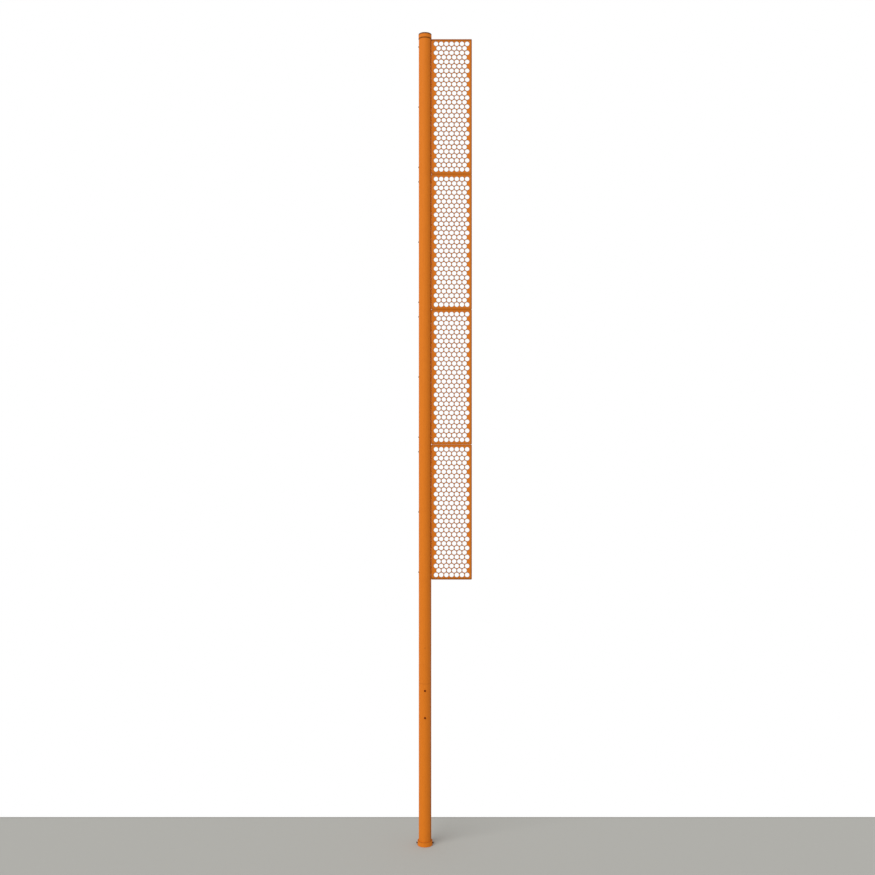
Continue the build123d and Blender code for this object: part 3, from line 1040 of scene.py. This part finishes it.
def bend_flange(tray, across, place):
    """Bends one side of the flat sheet down through a quarter turn and draws its flange out."""
    depth = TRAY_BACK - TRAY_FRONT
    centre = (place, 0, -BEND) if across == X else (0, place, -BEND)
    side = 1 if place > 0 else -1
    axis = (0, side, 0) if across == X else (-side, 0, 0)

    def on_side(vertex):
        return abs(vertex.co[across] - place) < SAME_PLACE and abs(vertex.co.z) < SAME_PLACE

    with shaping(tray):
        pick(tray, "EDGE", lambda edge: all(on_side(vertex) for vertex in edge.verts))
        bpy.ops.mesh.spin(steps=BEND_STEPS, angle=-pi / 2, center=centre, axis=axis)
        bpy.ops.mesh.extrude_region_move(TRANSFORM_OT_translate={"value": (0, 0, BEND - depth)})


# ---------------------------------------------------------------- weld beads
def weld_bead(name, node, reach, ripples):
    """A ring of weld in the room of a packed weld, its surface drawn up in ripples."""
    swell = WELD_SWELL_SHARE * reach
    bottom, top = span(node, Z)
    bead = primitive(
        name,
        bpy.ops.mesh.primitive_torus_add,
        major_segments=ripples * RIPPLE_STEPS,
        minor_segments=WELD_ROUND,
        major_radius=span(node, X)[1] - reach - swell,
        minor_radius=reach,
    )
    with shaping(bead):
        pick(bead, "VERT", lambda vertex: on_crest(vertex, 2 * pi / ripples))
        bpy.ops.transform.shrink_fatten(value=swell)
    bead.scale = (1, 1, (top - bottom) / 2 / (reach + swell))
    bead.location = (0, 0, (bottom + top) / 2)
    settle(bead)
    return bead


def on_crest(vertex, ripple):
    """Whether a vertex lies on the crest of a ripple, which is an angle round the Z axis."""
    bearing = Vector((vertex.co.x, vertex.co.y)).angle_signed(Vector((1, 0)))
    step = round(bearing / (ripple / RIPPLE_STEPS))
    return step % RIPPLE_STEPS == 0


# ---------------------------------------------------------------- the foul pole, piece by piece
def dress_ground_parts(coats, zinc, black):
    """The buried sleeve with its floor, the collar, both weld rings and the two set bolts."""
    sleeve = tube("buried_sleeve", SLEEVE_RADIUS, SLEEVE_WALL, SLEEVE_BOTTOM, 0)
    fit(sleeve, zinc, "footing", "galvanised_steel", "ground_sleeve")
    dress("sleeve_floor", zinc)
    dress("set_collar", coats["collar"])
    floor_bead = weld_bead(
        "sleeve_floor_weld", "floor_weld", FLOOR_WELD_REACH, FLOOR_WELD_RIPPLES
    )
    fit(floor_bead, zinc, "footing", "galvanised_steel", "floor_weld", crease=80)
    collar_bead = weld_bead(
        "collar_weld_bead", "collar_weld", COLLAR_WELD_REACH, COLLAR_WELD_RIPPLES
    )
    fit(collar_bead, coats["weld"], "footing", "orange_coat", "collar_weld", crease=80)

    tip, crown = span("set_bolt_right", X)
    head_width = 2 * span("set_bolt_right", Y)[1]
    under_head = crown - SET_HEAD_HEIGHT
    radius = SET_BOLT / 2 - SET_THREAD_GAP
    length = under_head - tip
    bolt = hexagon_bolt("set_bolt", radius, head_width, SET_HEAD_HEIGHT, length, SET_THREAD)
    for side, label in ((-1, "left"), (1, "right")):
        piece = turn_to(copy_at(bolt, f"set_bolt_{label}_threaded", (0, 0, 0)), X, -side)
        piece.location = (side * under_head, 0, SET_BOLT_HEIGHT)
        settle(piece)
        fit(piece, black, f"{label}_set_bolt", "black_oxide", f"set_bolt_{label}")
    bpy.data.objects.remove(bolt)


def dress_lower_pole(coats, zinc, finishes):
    """The lower section, the splice inside the joint, and the two bolts through both."""
    nodes = ("splice_bolts", "splice_washers", "splice_nuts")
    low, high = span("splice_bolts", Z)
    heights = [low + SPLICE_HEAD_RADIUS, high - SPLICE_HEAD_RADIUS]
    spots = [(0, 0, height) for height in heights]
    cuts = beside(heights, DRILL_MARGIN)

    lower = tube(
        "pole_tube_lower", POLE_RADIUS, POLE_WALL, SLEEVE_BOTTOM, JOINT_HEIGHT, PIPE_CHAMFER, cuts
    )
    drill(lower, SPLICE_BOLT_HOLE, spots, Y)
    fit(lower, coats["pole"], "pole", "orange_coat", "lower_pole")

    splice = tube("splice_tube", SPLICE_RADIUS, SPLICE_WALL, SPLICE_BOTTOM, SPLICE_TOP, cuts=cuts)
    drill(splice, SPLICE_BOLT_HOLE, spots, Y)
    fit(splice, zinc, "pole", "galvanised_steel", "splice_sleeve")

    made = fastener_set(
        "splice", nodes, Y, SPLICE_BOLT, SPLICE_BOLT_HOLE, SPLICE_SOCKET, SPLICE_THREAD
    )
    for height, tag in zip(heights, ("low", "high")):
        place_fasteners(made, tag, nodes, Y, height, finishes)
    put_away(made)


def dress_upper_pole(coats):
    """The upper section, drilled for the trays' bolts and the plug welds, and its cap."""
    heights = [height for tray in TRAYS for height in bolt_heights(tray)]
    cuts = beside(heights, TRAY_DRILL_MARGIN) + beside([PLUG_HEIGHT], DRILL_MARGIN)
    upper = tube(
        "pole_tube_upper", POLE_RADIUS, POLE_WALL, JOINT_HEIGHT, POLE_TOP, PIPE_CHAMFER, cuts
    )
    drill(upper, TRAY_BOLT_HOLE, [(0, 0, height) for height in heights], X)
    drill(upper, PLUG_RADIUS, [(0, 0, PLUG_HEIGHT)], Y)
    fit(upper, coats["pole"], "pole", "orange_coat", "upper_pole")
    dress("plug_welds", coats["plug"])
    dress("pole_cap", coats["cap"])


def tray_fasteners(number):
    """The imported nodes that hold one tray: its bolts, its washers and its nuts."""
    return tuple(f"panel_{kind}_{number}" for kind in ("bolts", "washers", "nuts"))


def dress_wing(coats, finishes):
    """Four trays, each held by three bolts through the pole."""
    lowest = wing_tray("wing_tray_1")
    pieces = [lowest]
    for number in TRAYS[1:]:
        rise = (0, 0, (number - 1) * TRAY_RISE)
        pieces.append(copy_at(lowest, f"wing_tray_{number}", rise))
    nodes = tray_fasteners(1)
    made = fastener_set("tray", nodes, X, TRAY_BOLT, TRAY_BOLT_HOLE, TRAY_SOCKET, TRAY_THREAD)
    for number, piece in zip(TRAYS, pieces):
        fit(piece, coats["tray"], "pole", "orange_coat", f"wing_panel_{number}")
        for height, label in zip(bolt_heights(number), ("low", "middle", "high")):
            tag = f"{number}_{label}"
            place_fasteners(made, tag, tray_fasteners(number), X, height, finishes)
    put_away(made)


def main():
    set_camera()
    set_world()
    set_key_light()
    lay_floor()
    coats = {
        "pole": orange_coat("pole_coat", pole_grime_and_shade),
        "cap": orange_coat("cap_coat", cap_grime_and_shade),
        "collar": orange_coat("collar_coat", collar_grime),
        "tray": orange_coat("tray_coat", tray_darkening, sheared_rims),
        "weld": orange_coat("weld_coat", weld_grime),
        "plug": orange_coat("plug_coat", plug_grime),
    }
    zinc = galvanised()
    plate = turned_steel(
        "zinc_plating", PLATE_DULL, PLATE_BRIGHT, roughness=0.28, metallic=1.0
    )
    black = turned_steel(
        "black_oxide_steel", OXIDE_BLACK, OXIDE_WORN, roughness=0.36, gloss=0.3
    )
    brown = turned_steel("brown_screw_paint", BROWN, BROWN_WORN, roughness=0.5)
    dark_brown = turned_steel(
        "dark_brown_screw_paint", DARK_BROWN, DARK_BROWN_WORN, roughness=0.55
    )
    dress_ground_parts(coats, zinc, black)
    dress_lower_pole(coats, zinc, (brown, plate, plate))
    dress_upper_pole(coats)
    dress_wing(coats, (dark_brown, plate, plate))


main()
